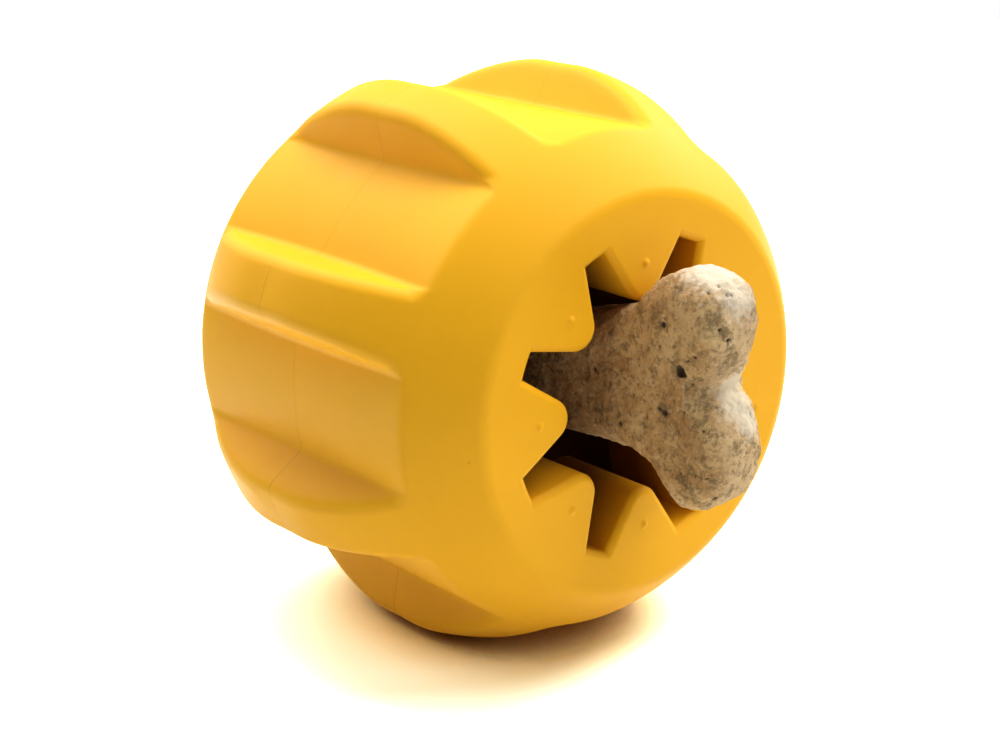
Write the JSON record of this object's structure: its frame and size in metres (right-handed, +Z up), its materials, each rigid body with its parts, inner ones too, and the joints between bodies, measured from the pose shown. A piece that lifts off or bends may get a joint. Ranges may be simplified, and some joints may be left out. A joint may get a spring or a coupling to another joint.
{
  "type": "treat-dispensing chew toy",
  "caption": "Ribbed yellow rubber ball with flat ends and a toothed star-shaped mouth that holds a bone-shaped biscuit.",
  "frame": {"origin": "on the ground under the middle of the whole length, biscuit included", "axes": "+Z up, the barrel's axis along Y with the mouth towards -Y and the closed rear end towards +Y"},
  "size_m": [0.085, 0.0886, 0.085],
  "materials": {
    "rubber": "satin moulded natural rubber, yellow",
    "biscuit": "matt baked dough, tan with dark specks"
  },
  "bodies": {
    "toy": {"front_shell": "rubber", "rear_shell": "rubber"},
    "tooth_1": {"tooth_1": "rubber"},
    "tooth_2": {"tooth_2": "rubber"},
    "tooth_3": {"tooth_3": "rubber"},
    "tooth_4": {"tooth_4": "rubber"},
    "tooth_5": {"tooth_5": "rubber"},
    "tooth_6": {"tooth_6": "rubber"},
    "tooth_7": {"tooth_7": "rubber"},
    "tooth_8": {"tooth_8": "rubber"},
    "biscuit": {"biscuit": "biscuit"}
  },
  "joints": [
    {"name": "tooth_1_lean", "type": "hinge", "parent": "toy", "child": "tooth_1", "pos_m": [0, -0.01446, 0.06581], "axis": [0, 1, 0], "range_deg": [-10, 10], "stiffness_Nm_per_rad": 0.6},
    {"name": "tooth_2_lean", "type": "hinge", "parent": "toy", "child": "tooth_2", "pos_m": [-0.0165, -0.01446, 0.05897], "axis": [0, 1, 0], "range_deg": [-10, 10], "stiffness_Nm_per_rad": 0.6},
    {"name": "tooth_3_lean", "type": "hinge", "parent": "toy", "child": "tooth_3", "pos_m": [-0.02333, -0.01446, 0.04248], "axis": [0, 1, 0], "range_deg": [-10, 10], "stiffness_Nm_per_rad": 0.6},
    {"name": "tooth_4_lean", "type": "hinge", "parent": "toy", "child": "tooth_4", "pos_m": [-0.0165, -0.01446, 0.02598], "axis": [0, 1, 0], "range_deg": [-10, 10], "stiffness_Nm_per_rad": 0.6},
    {"name": "tooth_5_lean", "type": "hinge", "parent": "toy", "child": "tooth_5", "pos_m": [0, -0.01446, 0.01915], "axis": [0, 1, 0], "range_deg": [-10, 10], "stiffness_Nm_per_rad": 0.6},
    {"name": "tooth_6_lean", "type": "hinge", "parent": "toy", "child": "tooth_6", "pos_m": [0.0165, -0.01446, 0.02598], "axis": [0, 1, 0], "range_deg": [-10, 10], "stiffness_Nm_per_rad": 0.6},
    {"name": "tooth_7_lean", "type": "hinge", "parent": "toy", "child": "tooth_7", "pos_m": [0.02333, -0.01446, 0.04248], "axis": [0, 1, 0], "range_deg": [-10, 10], "stiffness_Nm_per_rad": 0.6},
    {"name": "tooth_8_lean", "type": "hinge", "parent": "toy", "child": "tooth_8", "pos_m": [0.0165, -0.01446, 0.05897], "axis": [0, 1, 0], "range_deg": [-10, 10], "stiffness_Nm_per_rad": 0.6},
    {"name": "biscuit_pull", "type": "slide", "parent": "toy", "child": "biscuit", "axis": [0, -0.9925, 0.1219], "range_m": [0, 0.006]}
  ]
}
